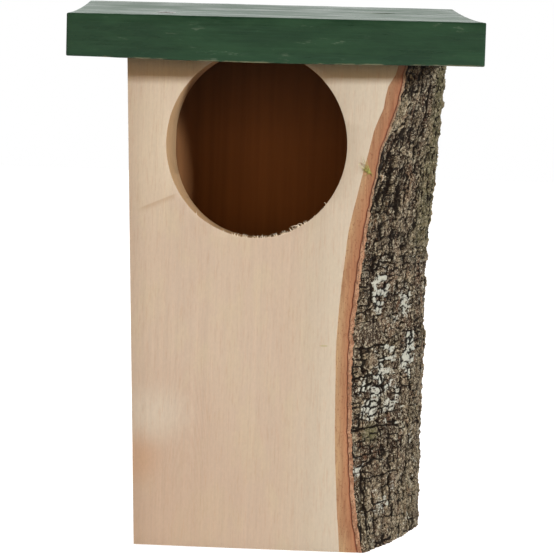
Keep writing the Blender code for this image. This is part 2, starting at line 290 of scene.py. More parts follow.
def applied(thing):
    """The object with its modifiers made part of its mesh."""
    bpy.context.view_layer.update()
    seen = thing.evaluated_get(bpy.context.evaluated_depsgraph_get())
    mesh = bpy.data.meshes.new_from_object(seen)
    old = thing.data
    thing.modifiers.clear()
    thing.data = mesh
    bpy.data.meshes.remove(old)
    mesh.name = thing.name
    return thing


def even(count):
    """The places that cut a length of 1 into so many equal parts."""
    return [i / count for i in range(1, count)]


def cut_block(x_cuts, y_cuts, z_cuts):
    """A unit cube cut by planes, as bmesh."""
    shape = bmesh.new()
    bmesh.ops.create_cube(shape, size=1.0, matrix=Matrix.Translation((0.5, 0.5, 0.5)))
    for axis, cuts in enumerate((x_cuts, y_cuts, z_cuts)):
        for cut in cuts:
            where, facing = [0.0, 0.0, 0.0], [0.0, 0.0, 0.0]
            where[axis], facing[axis] = cut, 1.0
            geometry = shape.verts[:] + shape.edges[:] + shape.faces[:]
            bmesh.ops.bisect_plane(shape, geom=geometry, plane_co=where, plane_no=facing)
    return shape


def solid(name, shape):
    """An object from a closed shape, its faces pointing out."""
    mesh = bpy.data.meshes.new(name)
    bmesh.ops.recalc_face_normals(shape, faces=shape.faces)
    shape.to_mesh(mesh)
    shape.free()
    return link(name, mesh, [])


def round_tool(name, radius, length, sides, matrix):
    """A cylinder in mm, with the middle of its length at the matrix's place."""
    shape = bmesh.new()
    bmesh.ops.create_cone(shape, cap_ends=True, segments=sides, radius1=radius * MM, radius2=radius * MM,
                          depth=length * MM, matrix=matrix)
    return solid(name, shape)


def box_tool(name, sizes, middle):
    """A box in mm, square to the world."""
    shape = bmesh.new()
    scale = Matrix.Diagonal((sizes[0] * MM, sizes[1] * MM, sizes[2] * MM, 1.0))
    bmesh.ops.create_cube(shape, size=1.0, matrix=Matrix.Translation(middle) @ scale)
    return solid(name, shape)


def cut_with(thing, cutter):
    """Adds a cut as a modifier, which applied() makes real."""
    step = thing.modifiers.new("cut", "BOOLEAN")
    step.operation = "DIFFERENCE"
    step.solver = "EXACT"
    step.object = cutter


def drop(things):
    """Takes objects and their meshes away."""
    for thing in things:
        mesh = thing.data
        bpy.data.objects.remove(thing, do_unlink=True)
        bpy.data.meshes.remove(mesh)


def ease_edges(thing, width, segments):
    """Rounds the sharp edges by a few tenths of a millimetre, for good."""
    bevel = thing.modifiers.new("eased", "BEVEL")
    bevel.width = width * MM
    bevel.segments = segments
    bevel.limit_method = "ANGLE"
    bevel.angle_limit = math.radians(50.0)
    applied(thing)


def smooth_within(mesh, degrees):
    """Smooth shading, except over edges sharper than this."""
    mesh.shade_smooth()
    mesh.set_sharp_from_angle(angle=math.radians(degrees))


def set_numbers(mesh, name, values):
    """Stores one number per vertex for the material to read."""
    made = mesh.attributes.new(name, "FLOAT", "POINT")
    made.data.foreach_set("value", np.asarray(values, np.float32))


def mesh_from(name, points, faces):
    mesh = bpy.data.meshes.new(name)
    mesh.from_pydata([tuple(p) for p in points], [], faces)
    mesh.validate()
    return mesh


# ---- material helpers


def srgb(r, g, b):
    """Scene colour from 0 to 255 display values."""
    made = []
    for v in (r, g, b):
        v /= 255.0
        made.append(v / 12.92 if v <= 0.04045 else ((v + 0.055) / 1.055) ** 2.4)
    return (made[0], made[1], made[2], 1.0)


class Look:
    """Builds one material's nodes. Places are in metres, in the object's own space."""

    def __init__(self, name, roughness=0.6, metallic=0.0):
        self.material = bpy.data.materials.new(name)
        self.material.use_nodes = True
        self.tree = self.material.node_tree
        self.shader = self.tree.nodes["Principled BSDF"]
        self.constant("Roughness", roughness)
        self.constant("Metallic", metallic)
        self.where = self.add("TexCoord", "Object", {})

    def add(self, kind, output, inputs, **settings):
        return add_node(self.tree, kind, output, inputs, **settings)

    def constant(self, socket, value):
        """Sets the shader's own socket."""
        self.shader.inputs[socket].default_value = value

    def scaled(self, scale, shift=(0, 0, 0)):
        """The place, scaled and then shifted."""
        return self.add("Mapping", 0, {"Vector": self.where, "Location": shift, "Scale": scale})

    def noise(self, scale, detail=3.0, roughness=0.55, shift=(0, 0, 0)):
        """Noise from 0 to 1, with so many features per metre along each axis."""
        inputs = {"Vector": self.scaled(scale, shift), "Scale": 1.0, "Detail": detail, "Roughness": roughness}
        return self.add("TexNoise", "Fac", inputs)

    def stored(self, name):
        """A number that the mesh holds for each vertex."""
        return self.add("Attribute", "Fac", {}, attribute_name=name)

    def math(self, kind, a, b=None):
        return self.add("Math", 0, {0: a, 1: b}, operation=kind)

    def times(self, a, b):
        return self.math("MULTIPLY", a, b)

    def plus(self, a, b):
        return self.math("ADD", a, b)

    def minus(self, a, b):
        return self.math("SUBTRACT", a, b)

    def swing(self, value, amount):
        """Noise moved to lie round 0."""
        return self.times(self.minus(value, 0.5), amount)

    def gain(self, value, amount):
        """Noise moved to lie round 1."""
        return self.plus(self.swing(value, amount), 1.0)

    def fade(self, value, low, high, at_low=0.0, at_high=1.0):
        return smooth_range(self.tree, value, low, high, at_low, at_high)

    def mix(self, amount, a, b):
        """Colour a where the amount is 0, and colour b where it is 1."""
        return self.add("Mix", 2, {0: amount, 6: a, 7: b}, data_type="RGBA")

    def between(self, amount, first, second):
        """Starts the colour off, between two display colours."""
        self.colour = self.mix(amount, srgb(*first), srgb(*second))

    def over(self, mask, strength, r, g, b):
        """Lays a display colour over the colour so far."""
        self.colour = self.mix(self.times(mask, strength), self.colour, srgb(r, g, b))

    def brighten(self, gain):
        """Multiplies the colour so far."""
        self.colour = self.add("VectorMath", 0, {0: self.colour, "Scale": gain}, operation="SCALE")

    def axis(self, name):
        """The place along X, Y or Z."""
        return self.add("SeparateXYZ", name, {0: self.where})

    def spot(self, centre, radii, soft=0.5, wobble=None):
        """1 inside an ellipsoid and 0 outside, with a soft border. Centre in metres, radii in mm."""
        scale = tuple(1.0 / (r * MM) for r in radii)
        shift = tuple(-c * s for c, s in zip(centre, scale))
        far = self.add("VectorMath", "Value", {0: self.scaled(scale, shift)}, operation="LENGTH")
        if wobble is not None:
            far = self.plus(far, wobble)
        return self.fade(far, 1.0 - soft, 1.0 + soft, 1.0, 0.0)

    def end_grain(self):
        """Growth rings round a pith left of the log, on the faces cut across the grain only."""
        pith = (DATUM.x - 0.183, DATUM.y + 0.12, 0.0)
        rings_per_metre = 310.0
        far = self.add("VectorMath", "Value", {0: self.scaled((1, 1, 0)), 1: pith}, operation="DISTANCE")
        far = self.plus(far, self.times(self.noise((45, 45, 0)), 0.006))
        ring = self.fade(self.math("FRACT", self.times(far, rings_per_metre)), 0.35, 1.0)
        up = self.add("SeparateXYZ", "Z", {0: self.add("NewGeometry", "Normal", {})})
        return self.times(ring, self.fade(self.math("ABSOLUTE", up), 0.6, 0.95))

    def finish(self, bump=None, strength=0.5, depth=0.0002, roughness=None):
        """Sets the colour, a bump that is depth metres high, and a varying roughness."""
        if bump is not None:
            bump = self.add("Bump", 0, {"Strength": strength, "Distance": depth, "Height": bump})
        for socket, value in (("Base Color", self.colour), ("Roughness", roughness), ("Normal", bump)):
            feed(self.tree, self.shader, socket, value)
        return self.material


def datum(x, y, z):
    """place() as a plain tuple, for a node."""
    p = place(x, y, z)
    return (p.x, p.y, p.z)


# ---- wood, bast and bark


def arch_figure(look):
    """Pointed arches of the grain, low on the left of the front."""
    steepness, lines_per_metre = 620.0, 330.0
    arch = look.times(look.math("POWER", look.minus(look.axis("X"), DATUM.x - 0.0369), 2.0), steepness)
    arch = look.plus(arch, look.minus(look.axis("Z"), 0.0632))
    arch = look.plus(arch, look.times(look.minus(look.noise((70, 70, 50), 2.0, 0.5, (1, 1, 1)), 0.5), 0.014))
    bands = look.fade(look.math("ABSOLUTE", look.math("SINE", look.times(arch, lines_per_metre))), 0.5, 1.0)
    return look.times(bands, look.spot(datum(-38, 0, 52), (15, 60, 26), 0.7))


def fold_figure(look):
    """A thin slanting line left of the entrance, sharp above and soft below."""
    rise_per_run = 0.433
    across, high, deep = look.axis("X"), look.axis("Z"), look.axis("Y")
    line = look.times(look.minus(across, DATUM.x - 0.0573), rise_per_run)
    under = look.minus(line, look.minus(high, 0.1459))
    fold = look.times(look.fade(under, -0.0003, 0.0004), look.fade(under, 0.0004, 0.0032, 1.0, 0.0))
    fold = look.times(fold, look.fade(across, DATUM.x - 0.046, DATUM.x - 0.0425, 1.0, 0.0))
    fold = look.times(fold, look.fade(across, DATUM.x - 0.062, DATUM.x - 0.056))
    return look.times(fold, look.fade(deep, DATUM.y + 0.004, DATUM.y + 0.012, 1.0, 0.0))


def make_wood():
    """Sawn alder: pale, with fine upright grain, pinkish streaks and paler sapwood by the bark."""
    look = Look("alder_front", 0.62)
    fine = look.noise((1150, 1150, 26), 3.0, 0.65)
    streak = look.noise((170, 170, 6), 2.0, 0.5, (3, 1, 0))
    broad = look.noise((38, 38, 9), 2.0, 0.5, (7, 0, 2))
    fleck = look.noise((1500, 1500, 150), 2.0, 0.5, (0, 4, 0))
    look.between(look.fade(streak, 0.25, 0.78), (207, 186, 164), (202, 180, 158))
    look.over(look.fade(broad, 0.4, 0.75), 0.5, 207, 185, 158)
    mottle = look.noise((130, 130, 55), 3.0, 0.6, (2, 9, 4))
    look.over(look.fade(mottle, 0.45, 0.68), 0.55, 207, 189, 160)
    to_bark = look.plus(look.axis("X"), look.times(broad, 0.012))
    sapwood = look.fade(to_bark, DATUM.x + 0.008, DATUM.x + 0.030)
    look.over(sapwood, 0.8, 202, 188, 166)
    look.over(arch_figure(look), 0.2, 186, 148, 128)
    low_left = look.spot(datum(-60, 0, 6), (58, 200, 62), 0.7, look.times(broad, 0.5))
    look.over(low_left, 0.6, 193, 163, 137)
    stain = look.spot(datum(-59, 0, 38), (9, 20, 10), 0.7)
    look.over(stain, 0.4, 196, 146, 106)
    high_left = look.spot(datum(-54, 0, 172), (12, 60, 34), 0.6, look.times(broad, 0.4))
    look.over(high_left, 0.8, 214, 196, 170)
    pale = look.spot(datum(-51, 0, 57), (13, 22, 10), 0.8)
    look.over(pale, 0.6, 214, 202, 182)
    look.over(fold_figure(look), 0.45, 176, 144, 112)
    mark = look.spot(datum(20.9, 0, 88.4), (1.7, 20, 0.45), 0.3)
    look.over(mark, 0.5, 170, 160, 104)
    look.over(look.end_grain(), 0.45, 178, 142, 108)
    speckle = look.noise((1300, 1300, 620), 2.0, 0.6, (4, 6, 0))
    vein = look.noise((420, 420, 10), 2.0, 0.5, (8, 2, 0))
    look.over(look.fade(fleck, 0.5, 0.76), 0.42, 194, 162, 134)
    gain = look.times(look.times(look.gain(fine, 0.2), look.gain(speckle, 0.15)), look.gain(vein, 0.1))
    bump = look.plus(look.times(fine, 0.6), look.times(streak, 0.4))
    look.brighten(gain)
    return look.finish(bump, 0.35, 0.00012, look.fade(fine, 0.3, 0.7, 0.55, 0.72))


def make_hollow_wood():
    """The bored inside: darker, rougher, with upright tool marks."""
    look = Look("alder_hollow", 0.8)
    streak = look.noise((240, 240, 6), 3.0, 0.6)
    ring = look.noise((20, 20, 900), 2.0, 0.5)
    look.between(look.fade(streak, 0.25, 0.75), (135, 90, 55), (123, 81, 49))
    bump = look.plus(look.times(streak, 0.8), look.times(ring, 0.2))
    return look.finish(bump, 0.7, 0.0005)


def make_tunnel_wood():
    """The bored wall of the entrance: end grain above and below, darker than the sawn face."""
    look = Look("alder_entrance", 0.75)
    layer = look.noise((160, 900, 160), 3.0, 0.6)
    grain = look.noise((900, 900, 60), 3.0, 0.6, (1, 5, 2))
    look.between(look.fade(layer, 0.3, 0.7), (201, 162, 120), (187, 146, 103))
    look.over(look.fade(grain, 0.5, 0.75), 0.4, 150, 112, 78)
    # Painted light: the lower lip near the mouth is made pale, where the low key light only grazes it.
    painted_light_lip = look.fade(look.axis("Y"), DATUM.y + 0.0008, DATUM.y + 0.0045, 0.9, 0.0)
    low = look.fade(look.axis("Z"), 0.134, 0.143, 1.0, 0.0)
    look.over(look.times(painted_light_lip, low), 1.0, 250, 236, 214)
    return look.finish(grain, 0.5, 0.0003)


def make_bast():
    """Inner bark: orange brown, redder to its outside, with fine upright fibres."""
    look = Look("bast", 0.7)
    across = look.stored("across")
    fibre = look.noise((1300, 1300, 60), 3.0, 0.6)
    blotch = look.noise((160, 160, 30), 2.0, 0.5, (2, 2, 0))
    pit = look.noise((1800, 1800, 900), 2.0, 0.6, (0, 0, 5))
    look.between(look.fade(across, 0.1, 0.9), (187, 152, 113), (172, 122, 88))
    look.over(look.fade(blotch, 0.4, 0.66), 0.65, 161, 111, 79)
    # Darker and redder towards the top: partly the bast's own redder tone, partly painted shade near the
    # roof's shadow.
    top = look.fade(look.axis("Z"), 0.135, 0.2)
    look.over(top, 0.6, 147, 98, 72)
    rim = look.fade(across, 0.86, 0.985)
    look.over(rim, 0.85, 112, 46, 34)
    look.over(look.fade(pit, 0.56, 0.7), 0.5, 122, 66, 42)
    streak = look.noise((700, 700, 90), 3.0, 0.65, (6, 0, 3))
    look.over(look.fade(streak, 0.5, 0.72), 0.4, 134, 78, 52)
    look.brighten(look.gain(fibre, 0.75))
    return look.finish(fibre, 0.5, 0.0002)


def make_bark_cut():
    """The sawn edge of the outer bark: light pinkish orange, mottled."""
    look = Look("bark_cut", 0.8)
    mottle = look.noise((700, 700, 420), 3.0, 0.6)
    grit = look.noise((1500, 1500, 1500), 2.0, 0.6, (3, 3, 3))
    look.between(look.fade(mottle, 0.38, 0.62), (190, 146, 114), (152, 106, 78))
    upper = look.fade(look.axis("Z"), 0.125, 0.165)
    look.over(upper, 0.7, 148, 122, 98)
    look.over(look.fade(grit, 0.5, 0.66), 0.75, 92, 70, 54)
    return look.finish(mottle, 0.6, 0.0004)


def make_bark():
    """Old alder bark: grey-brown plates, fissures darkened partly by their own colour and partly by painted
    shade, pale lichen and a little green.
    """
    look = Look("bark_outside", 0.9)
    look.constant("Specular IOR Level", 0.12)
    fissure = look.stored("fissure")
    lichen = look.stored("lichen")
    algae = look.stored("algae")
    tone = look.stored("tone")
    grain = look.noise((420, 420, 330), 4.0, 0.7)
    pits = look.noise((640, 400, 820), 3.0, 0.75, (5, 1, 0))
    grit = look.noise((1250, 1250, 1250), 3.0, 0.7, (2, 1, 7))
    look.between(look.fade(tone, 0.12, 0.88), (64, 46, 33), (158, 139, 110))
    look.over(look.fade(grain, 0.42, 0.6), 0.6, 70, 53, 40)
    rust = look.noise((120, 120, 90), 3.0, 0.6, (9, 9, 1))
    look.over(look.fade(rust, 0.52, 0.68), 0.55, 124, 86, 62)
    mist = look.noise((230, 230, 170), 3.0, 0.6, (1, 7, 3))
    look.over(look.fade(mist, 0.54, 0.68), 0.65, 166, 158, 136)
    look.over(look.fade(pits, 0.54, 0.62), 0.75, 212, 196, 165)
    look.over(look.fade(pits, 0.47, 0.4), 0.92, 27, 18, 12)
    look.over(look.fade(grit, 0.56, 0.66), 0.6, 206, 192, 164)
    look.over(look.fade(grit, 0.45, 0.37), 0.8, 34, 23, 15)
    green = look.times(algae, look.fade(grain, 0.3, 0.6, 0.3, 0.7))
    look.over(green, 1.0, 122, 118, 80)
    spread = look.plus(lichen, look.swing(pits, 1.2))
    spread = look.plus(spread, look.swing(grit, 1.3))
    look.over(look.fade(spread, 0.42, 0.74), 0.88, 210, 207, 190)
    # The fissures darkened nearly to black: partly their own dark inner bark, partly painted shade inside
    # them.
    look.over(look.fade(fissure, 0.2, 0.62), 0.97, 20, 13, 9)
    bump = look.plus(look.times(grain, 0.7), look.times(pits, 0.9))
    return look.finish(bump, 1.0, 0.0013)


# ---- roof frame, stain and steel

UP = Vector((0.0, -math.sin(SLOPE), math.cos(SLOPE)))
ROOF_TURN = Matrix.Rotation(SLOPE, 3, "X") @ Matrix.Rotation(ROOF_SKEW, 3, "Z")
SQUARE_TO_ROOF = Matrix.Rotation(SLOPE, 4, "X")
PIVOT_LOW = place(PIVOT_X, PIVOT_Y, log_top(PIVOT_Y) + TOP_EASE) + UP * ROOF_GAP * MM
from_middle = Matrix.Rotation(-ROOF_SKEW, 2) @ Vector((PIVOT_X - ROOF_MIDDLE_X, PIVOT_Y - ROOF_FRONT_Y))
PIVOT_IN_WIDTH = from_middle.x
PIVOT_IN_DEPTH = from_middle.y / math.cos(SLOPE)


def roof_place(x, y, z):
    """World place from mm on the board: x from its middle, y from its front edge, z up from its underside."""
    return PIVOT_LOW + ROOF_TURN @ (Vector((x - PIVOT_IN_WIDTH, y - PIVOT_IN_DEPTH, z)) * MM)


def make_roof_look():
    """Thin dark green stain on a planed board, with its grain showing, scuffs and a low sheen."""
    look = Look("green_stain", 0.42)
    look.constant("Specular IOR Level", 0.185)
    look.constant("Specular Tint", (0.8, 1.0, 0.84, 1.0))
    look.constant("Sheen Weight", 0.055)
    look.constant("Sheen Roughness", 0.4)
    look.constant("Sheen Tint", (0.6, 1.0, 0.68, 1.0))
    grain = look.noise((22, 600, 1500), 3.0, 0.6)
    band = look.noise((6, 60, 140), 3.0, 0.55, (1, 2, 3))
    cloud = look.noise((26, 60, 110), 4.0, 0.65, (4, 4, 4))
    look.between(look.fade(cloud, 0.3, 0.7), (25, 50, 33), (43, 70, 49))
    look.over(look.fade(band, 0.42, 0.68), 0.4, 20, 44, 28)
    look.over(look.fade(grain, 0.5, 0.75), 0.4, 46, 74, 54)
    scratch = look.noise((90, 90, 420), 4.0, 0.7, (2, 8, 5))
    scuffs = look.times(look.fade(scratch, 0.6, 0.7), look.fade(cloud, 0.42, 0.6))
    look.over(scuffs, 0.3, 124, 138, 118)
    bare = look.times(look.fade(look.stored("edge"), 0.84, 0.97), look.fade(scratch, 0.5, 0.6))
    look.over(bare, 0.6, 160, 152, 120)
    near_top = ROOF_THICKNESS - 0.6
    round_knot = tuple(roof_place(KNOT_X - 4.0, KNOT_Y, near_top))
    knot = look.spot(round_knot, (7.5, 5.5, 8.0), 0.35, look.swing(cloud, 0.8))
    look.over(knot, 0.5, 104, 110, 78)
    core = look.spot(tuple(roof_place(KNOT_X, KNOT_Y, near_top)), (5.4, 3.0, 8.0), 0.3)
    look.over(core, 0.8, 22, 34, 26)
    at_screw = tuple(roof_place(PIVOT_IN_WIDTH, PIVOT_IN_DEPTH, near_top))
    # A paler patch round the screw head.
    pale_patch_at_screw = look.spot(at_screw, (7.5, 6.5, 8.0), 0.25)
    look.over(pale_patch_at_screw, 0.35, 140, 148, 124)
    bump = look.plus(look.times(grain, 0.6), look.times(band, 0.6))
    roughness = look.plus(look.fade(cloud, 0.35, 0.65, 0.22, 0.4), look.times(band, 0.08))
    roughness = look.plus(roughness, look.times(core, 0.5))
    return look.finish(bump, 0.35, 0.00025, roughness)


def make_steel(name):
    """Bright zinc plate, finely brushed."""
    look = Look(name, 0.3, 1.0)
    brushed = look.noise((400, 400, 3000), 3.0, 0.6)
    cloud = look.noise((300, 300, 300), 3.0, 0.6)
    look.colour = look.mix(look.fade(cloud, 0.3, 0.7), (0.66, 0.66, 0.64, 1), (0.5, 0.5, 0.49, 1))
    return look.finish(brushed, 0.25, 0.00005, look.fade(brushed, 0.3, 0.7, 0.24, 0.42))


def make_plain_fibre(name, first, second):
    """A dull look for the small loose bits, varying between two colours."""
    look = Look(name, 0.75)
    vary = look.noise((900, 900, 900), 2.0, 0.5)
    look.between(look.fade(vary, 0.35, 0.65), first, second)
    return look.finish(vary, 0.3, 0.0001)


wood_look = make_wood()
hollow_look = make_hollow_wood()
tunnel_look = make_tunnel_wood()
bast_look = make_bast()
cut_look = make_bark_cut()
bark_look = make_bark()
roof_look = make_roof_look()
steel_look = make_steel("zinc_steel_bright")

# ---- the log's wood


def sawn_log():
    """The sawn block before it is bored. Its base rises a little towards the front's left corner."""
    shape = cut_block(even(8), even(14), even(44))
    for vert in shape.verts:
        u, v, w = vert.co
        y = v * LOG_DEPTH
        z = w * log_top(y)
        left = LEFT_AT_BASE + (LEFT_AT_TOP - LEFT_AT_BASE) * z / LOG_FRONT_HEIGHT
        x = left + (float(wood_outside(y, z)) + 0.05 - left) * u
        lift = 0.4 * max(0.0, (23.0 - x) / 81.0) ** 1.5
        vert.co = place(x, y, z + lift * (1.0 - w) ** 3)
    return solid("log_block", shape)


def round_cutters():
    """Tools for the hollow, the entrance, the drain and the roof screw's pilot hole."""
    hollow = Matrix.Translation(place(BORE_X, HOLLOW_Y, FLOOR_Z + 115.0)) @ Matrix.Diagonal(
        (BORE_OUT_OF_ROUND, 1.0, 1.0, 1.0))
    shrunk = Matrix.Diagonal((ENTRANCE_HALF_WIDTH / ENTRANCE_HALF_HEIGHT, 1.0, 1.0, 1.0))
    entrance = (Matrix.Translation(place(ENTRANCE_X, 0.5 * (HOLLOW_Y - 6.0), ENTRANCE_Z)) @ shrunk
                @ Matrix.Rotation(math.radians(90.0), 4, "X"))
    drain = Matrix.Translation(place(HOLLOW_X, HOLLOW_Y, 14.0))
    pilot = Matrix.Translation(PIVOT_LOW - UP * 12.0 * MM) @ SQUARE_TO_ROOF
    return [round_tool("t_hollow", HOLLOW_RADIUS, 230.0, 128, hollow),
            round_tool("t_entrance", ENTRANCE_HALF_HEIGHT, HOLLOW_Y + 6.0, 160, entrance),
            round_tool("t_drain", DRAIN_RADIUS, 40.0, 32, drain),
            round_tool("t_pilot", PILOT_RADIUS, PILOT_LENGTH, 24, pilot)]


def paint_log(log):
    """Gives the sawn faces, the hollow and the entrance's wall their own materials."""
    for look in (wood_look, hollow_look, tunnel_look):
        log.data.materials.append(look)
    hollow, tunnel = 1, 2
    axis = place(BORE_X, HOLLOW_Y, 0.0)
    mouth = place(ENTRANCE_X, 0.0, ENTRANCE_Z)
    for face in log.data.polygons:
        where, facing = face.center, face.normal
        away = math.hypot((where.x - axis.x) * HOLLOW_RADIUS / BORE_HALF_WIDTH, where.y - axis.y) / MM
        depth = (where.y - DATUM.y) / MM
        from_mouth = math.hypot((where.x - mouth.x) / ENTRANCE_HALF_WIDTH,
                                (where.z - mouth.z) / ENTRANCE_HALF_HEIGHT) / MM
        on_floor = abs(where.z - FLOOR_Z * MM) < 1e-4
        if 0.3 < depth < 70.0 and abs(from_mouth - 1.0) < 0.01 and abs(facing.y) < 0.5:
            face.material_index = tunnel
        elif abs(away - HOLLOW_RADIUS) < 0.6 and where.z > 0.02 and abs(facing.z) < 0.7:
            face.material_index = hollow
        elif away < HOLLOW_RADIUS + 4.0 and (on_floor or abs(depth - HOLLOW_Y) < 0.1):
            face.material_index = hollow


def make_log():
    log = sawn_log()
    cutters = round_cutters()
    for cutter in cutters:
        cut_with(log, cutter)
    applied(log)
    drop(cutters)
    for sizes in (PLATE_POCKET, NAIL_POCKET):
        pocket = box_tool("t_pocket", sizes, place(0.0, LOG_DEPTH, HANGER_Z))
        cut_with(log, pocket)
        applied(log)
        drop([pocket])
    ease_edges(log, 0.35, 2)
    paint_log(log)
    smooth_within(log.data, 28.0)
    return log


# ---- inner bark


def make_band():
    """The inner bark. On the front face it is sunk a little, most of all beside the bark."""
    shape = cut_block([0.2, 0.4, 0.6, 0.8, 0.92], [0.02, 0.1, 0.25, 0.4, 0.55, 0.7, 0.85], even(150))
    across = []
    for vert in shape.verts:
        u, v, w = vert.co
        y = v * LOG_DEPTH
        z = w * log_top(y)
        inner = float(wood_outside(y, z))
        x = inner + (float(bast_outside(y, z)) - inner) * u
        sink = 0.0
        if v < 1e-6:
            sink = 0.12 + 0.12 * drift_at(z / 2.2, u * 4.0, 51) + 0.25 * float(u > 0.9)
        vert.co = place(x, y + max(sink, 0.0), z)
        across.append(u)
    band = solid("bast_band", shape)
    set_numbers(band.data, "across", across)
    band.data.materials.append(bast_look)
    smooth_within(band.data, 35.0)
    return band


# ---- outer bark


def split(a, b, width, height, seed):
    """Staggered blocks: mm to their upright and level cracks, a number per block, and places across it."""

    def border(i, j, k, wide):
        return i + 0.6 * (dice(i if wide else j, 0 * i if wide else i, k) - 0.5)

    def nearest(at, column, k, wide):
        """The block that a place is in, and its two borders."""
        n = np.floor(at)
        mine = n if wide else column
        below, beyond = at < border(n, mine, k, wide), at >= border(n + 1, mine, k, wide)
        n = np.where(below, n - 1, np.where(beyond, n + 1, n))
        mine = n if wide else column
        return n, border(n, mine, k, wide), border(n + 1, mine, k, wide)

    u = a / width
    i, left, right = nearest(u, None, seed, True)
    v = b / height + 13.7 * dice(i, 0 * i, seed + 1)
    j, low, high = nearest(v, i, seed + 2, False)
    upright = np.minimum(u - left, right - u) * width
    level = np.minimum(v - low, high - v) * height
    across, along = (u - left) / (right - left) - 0.5, (v - low) / (high - low) - 0.5
    return upright, level, dice(i, j, seed + 3), across, along


def split_layer(y, z, width, height, seed, wander, crack):
    """One layer of split bark: relief in mm, crack darkness (partly the cracks' own colour, partly painted
    shade), a number per block, and its rim.
    """
    a = y + wander * rough(y / (4.0 * width), z / 14.0, seed + 5)
    a = a + 0.85 * rough(y / 3.4, z / 2.1, seed + 6, 3)
    b = z + wander * rough(y / 9.0, z / 11.0, seed + 7) + 0.75 * rough(y / 3.6, z / 2.6, seed + 8, 3)
    upright, level, pick, across, along = split(a, b, width, height, seed)
    gape = crack * np.clip(0.85 + 1.5 * rough(y / 6.0, z / 4.5, seed + 9, 2), 0.2, 1.9)
    dark = np.maximum(1.0 - ease(upright / (gape * 1.25)), 0.9 * (1.0 - ease(level / (gape * 0.8))))
    tilt = 0.9 * (dice(np.floor(pick * 4096), 0 * pick, seed + 11) - 0.5) * across
    tilt = tilt + 0.9 * (dice(np.floor(pick * 4096), 0 * pick + 1, seed + 12) - 0.35) * along
    edge = np.minimum(0.55 * upright, level)
    ring = ease((edge - 0.2) / 0.3) * (1.0 - 0.75 * ease((edge - 0.65) / 0.45))
    return 0.75 * (pick - 0.5) + tilt - 0.85 * dark, dark, pick, ring


# In mm: upright fissures (depth from the front, lowest, highest, width), level cracks (height, nearest depth,
# furthest depth, width), and lichen patches (depth, height, half depth, half height, cover).
FISSURES = [(27, 122, 162, 2.6), (20, 84, 114, 2.2), (9, 62, 100, 1.3), (36, 12, 60, 2.4),
            (46, 138, 204, 2.4), (15, 146, 190, 1.8), (53, 56, 112, 2.2), (66, 8, 92, 2.4), (7, 0, 38, 1.9),
            (31, 174, 216, 2.0), (60, 120, 170, 2.2), (10, 118, 140, 1.3), (40, 96, 124, 1.8),
            (75, 130, 210, 2.4)]
LEVEL_CRACKS = [(88, 3, 40, 0.9), (75, 0, 26, 0.7), (52, 2, 40, 0.6), (41, 0, 22, 0.7), (99, 2, 24, 0.5),
                (31, 8, 50, 0.6), (118, 0, 10, 0.5)]
LICHEN = [(62, 82, 14, 14, 1.35), (5, 70, 8, 6, 1.15), (4, 36, 7, 5, 1.2), (20, 112, 11, 13, 1.15),
          (54, 105, 13, 11, 0.95), (26, 72, 20, 11, 0.95), (16, 60, 13, 7, 0.85), (40, 60, 18, 16, 0.65),
          (28, 18, 11, 8, 0.65), (34, 83, 13, 6, 1.05)]
# A smooth level panel, where the bark has split into a slab: (depth, height) of its middle and half sizes.
PANEL_Y, PANEL_Z, PANEL_HALF_Y, PANEL_HALF_Z = 16.0, 93.0, 12.0, 4.2


def fissure_gap(y, z, at, low, top, wide):
    """1 in the middle of an upright fissure that wanders, and 0 outside."""
    line = np.abs(y - at - 2.0 * drift(z / 11.0, 0 * z + at, 501) - 0.6 * drift(z / 2.6, 0 * z + at, 502))
    gate = ease((z - low) / 6.0) * ease((top - z) / 6.0)
    return (1.0 - ease(line / (wide * (1.0 + 0.5 * drift(z / 4.0, 0 * z + at, 503))))) * gate


def level_gap(y, z, at, near, far, wide):
    """1 in the middle of a level crack, and 0 outside."""
    line = np.abs(z - at - 0.9 * drift(y / 7.0, 0 * y + at, 511) - 0.3 * drift(y / 1.7, 0 * y + at, 512))
    return (1.0 - ease(line / wide)) * ease((y - near + 2.0) / 3.0) * ease((far - y) / 6.0)


def lichen_cover(y, z, middle, lower, pick, ring, panel):
    """Scattered lichen, and the patches, fullest on some blocks and their rims."""
    lichen = 0.42 * middle * ease((y - 8.0) / 9.0) * (0.55 + 1.1 * rough(y / 9.0, z / 7.0, 83))
    lichen = np.maximum(lichen, 0.5 * lower * (0.35 + 1.2 * rough(y / 5.0, z / 4.0, 85)))
    for at_y, at_z, half_y, half_z, much in LICHEN:
        near = np.hypot((y - at_y) / half_y, (z - at_z) / half_z)
        patch = much * (1.0 - ease(near - 0.25)) * (0.9 + 0.5 * rough(y / 3.0, z / 3.0, 91))
        lichen = np.maximum(lichen, patch)
    return lichen * (0.35 + 0.8 * ease((pick - 0.3) / 0.25)) * (0.6 + 0.6 * ring) * (1.0 - 0.85 * panel)


def algae_cover(y, z):
    """Green high up round the side, and on one spot low at the front."""
    algae = 0.6 * ease((y - 50.0) / 22.0) * ease((z - 118.0) / 20.0)
    algae = np.maximum(algae, 1.0 - ease(np.hypot((y - 17.0) / 12.0, (z - 50.0) / 6.0)))
    return algae + 0.3 * np.clip(rough(y / 22.0, z / 22.0, 97), 0.0, 1.0)


